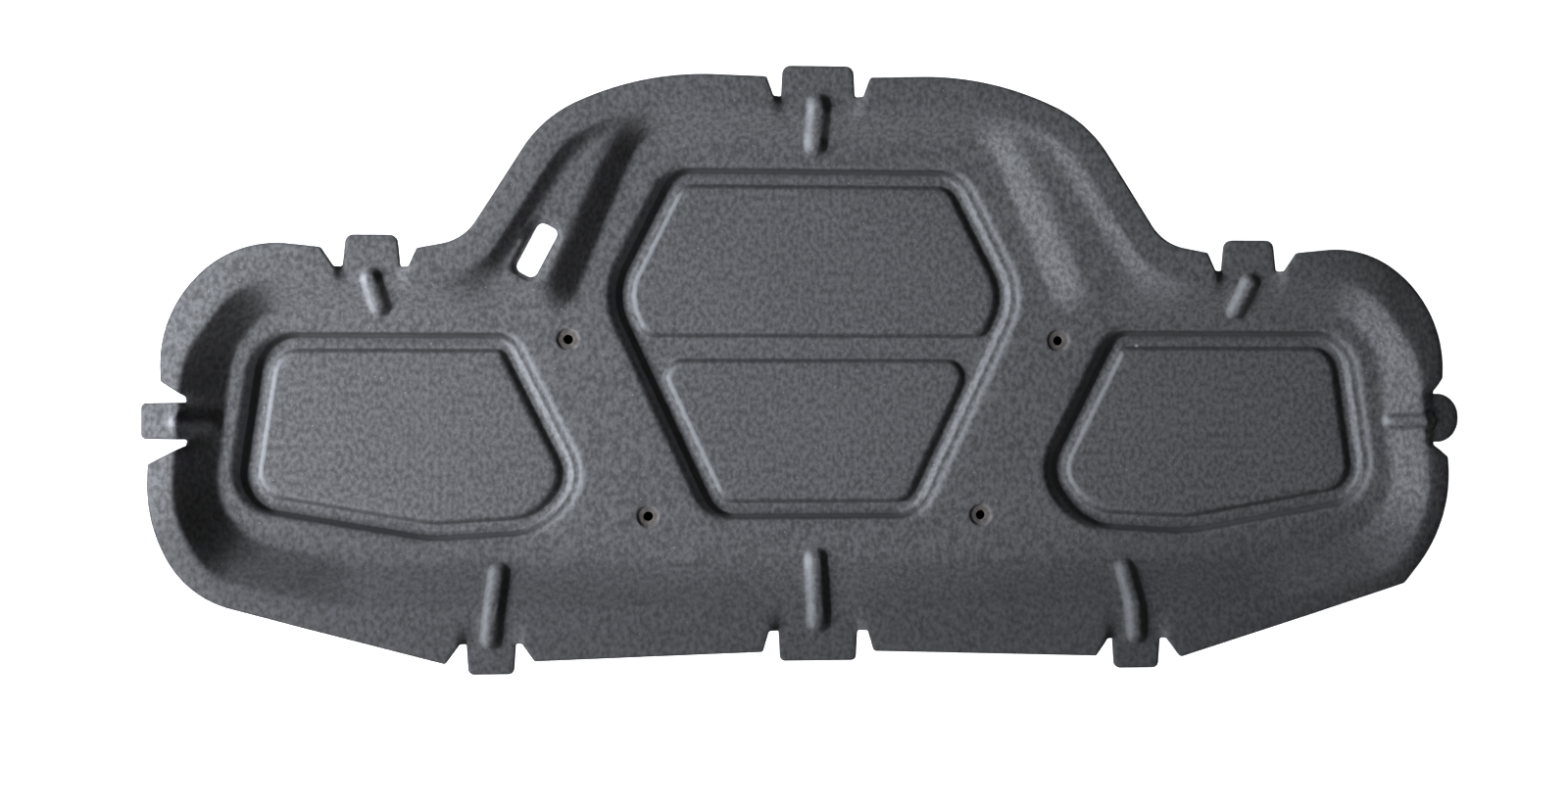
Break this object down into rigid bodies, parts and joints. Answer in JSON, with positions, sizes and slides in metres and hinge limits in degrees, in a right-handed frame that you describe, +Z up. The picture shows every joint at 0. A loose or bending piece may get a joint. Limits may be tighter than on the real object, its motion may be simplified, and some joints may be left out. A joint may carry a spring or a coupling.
{
  "type": "hood insulation pad",
  "caption": "Press-moulded dark grey felt pad with a flanged tray, three sunk pockets, clip holes, a slot and edge tabs.",
  "frame": {"origin": "centre of the pad's length and width, on the surface that it rests on", "axes": "+X along the length towards the rounded end tab, +Y across the width towards the crown, +Z up through the thickness, towards the engine side that the picture shows"},
  "size_m": [1.31, 0.598, 0.0495],
  "materials": {
    "felt": "matt"
  },
  "bodies": {
    "root": {"hood_pad": "felt"}
  },
  "joints": []
}
